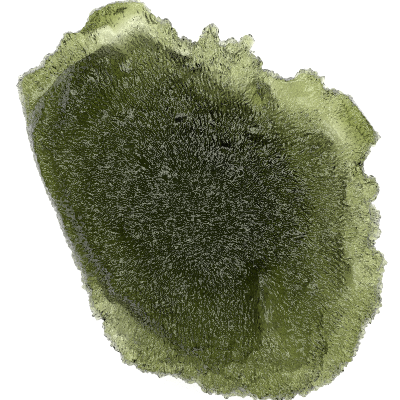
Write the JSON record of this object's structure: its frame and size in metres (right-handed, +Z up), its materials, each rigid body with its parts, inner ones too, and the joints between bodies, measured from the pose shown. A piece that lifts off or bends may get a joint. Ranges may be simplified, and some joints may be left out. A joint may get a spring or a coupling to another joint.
{
  "type": "moldavite stone",
  "caption": "Flattened natural piece of translucent green glass with a finely etched face, a broken ledge and a thin ragged rim; lies on a small flat spot.",
  "frame": {"origin": "centre of the outline's bounding box, at the level of the surface the stone lies on", "axes": "+Z up out of the etched face, +Y along the length toward the broken ledge, +X across"},
  "size_m": [0.0368, 0.0398, 0.011],
  "materials": {
    "green_glass": "etched satin gloss"
  },
  "bodies": {
    "root": {"moldavite": "green_glass"}
  },
  "joints": []
}
